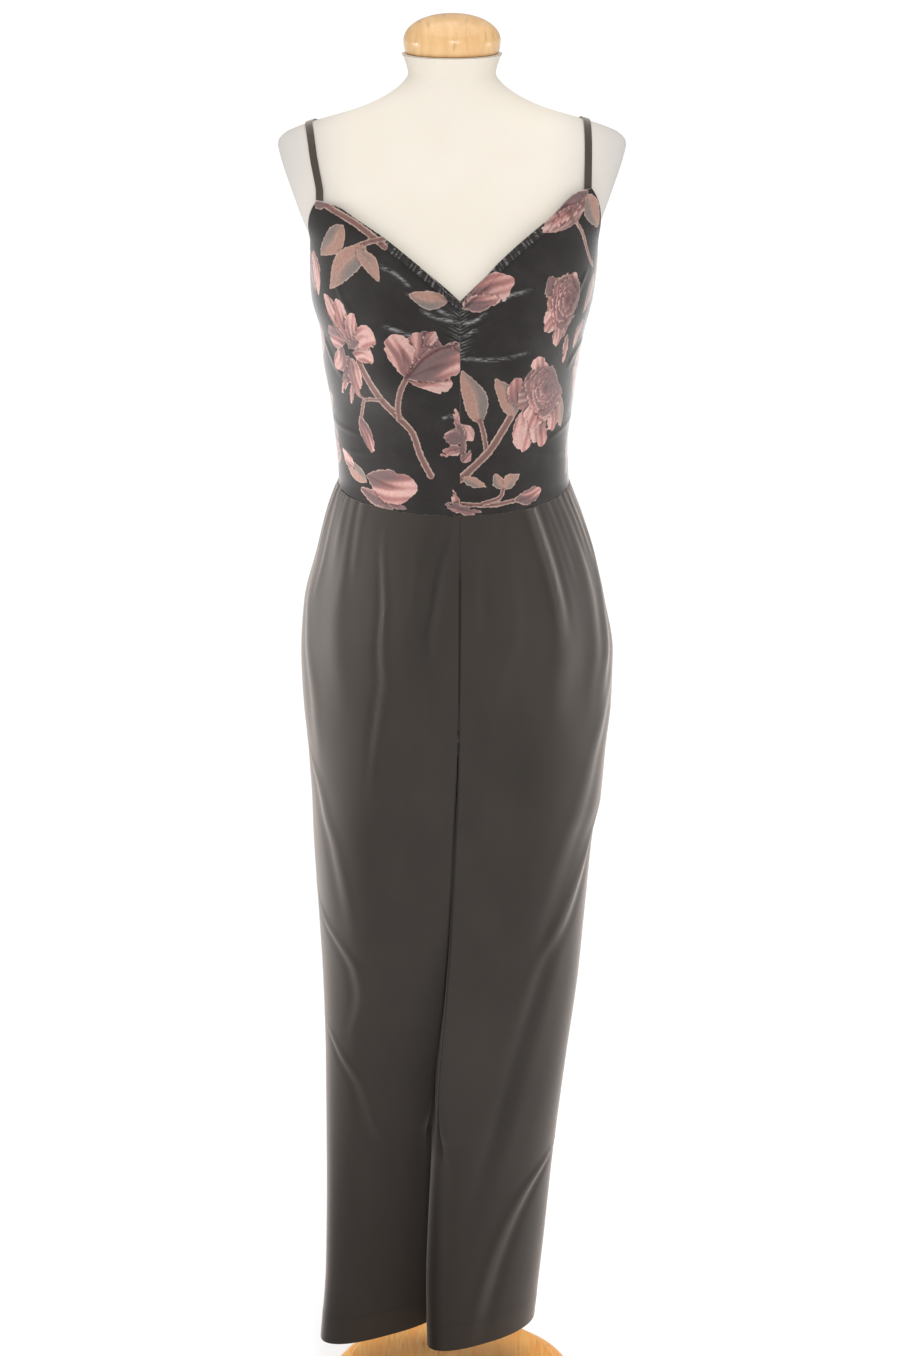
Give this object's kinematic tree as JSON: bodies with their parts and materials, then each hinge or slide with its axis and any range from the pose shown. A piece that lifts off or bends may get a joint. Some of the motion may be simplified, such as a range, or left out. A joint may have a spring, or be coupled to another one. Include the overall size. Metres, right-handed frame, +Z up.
{
  "type": "jumpsuit on dress form",
  "caption": "Strappy V-neck jumpsuit, flower-print velvet bodice and long plain crepe trousers, worn by a limbless dress form on a round wooden base.",
  "frame": {"origin": "centre of the round base's underside, on the floor", "axes": "+Z up; the garment's front faces -Y; +X is the wearer's left"},
  "size_m": [0.392, 0.3, 1.688],
  "materials": {
    "velvet": "short-pile velvet with a flower print",
    "crepe": "smooth crepe with a soft sheen",
    "jersey": "matt jersey cover",
    "wood": "varnished"
  },
  "bodies": {
    "root": {"bodice_front_right": "velvet", "bodice_front_left": "velvet", "bodice_back": "velvet", "neck_band_right": "velvet", "neck_band_left": "velvet", "strap_right": "crepe", "strap_left": "crepe", "trouser_front_right": "crepe", "trouser_front_left": "crepe", "trouser_back_right": "crepe", "trouser_back_left": "crepe", "form_torso": "jersey", "form_neck_cap": "wood", "form_pole": "wood", "form_base": "wood"}
  },
  "joints": []
}
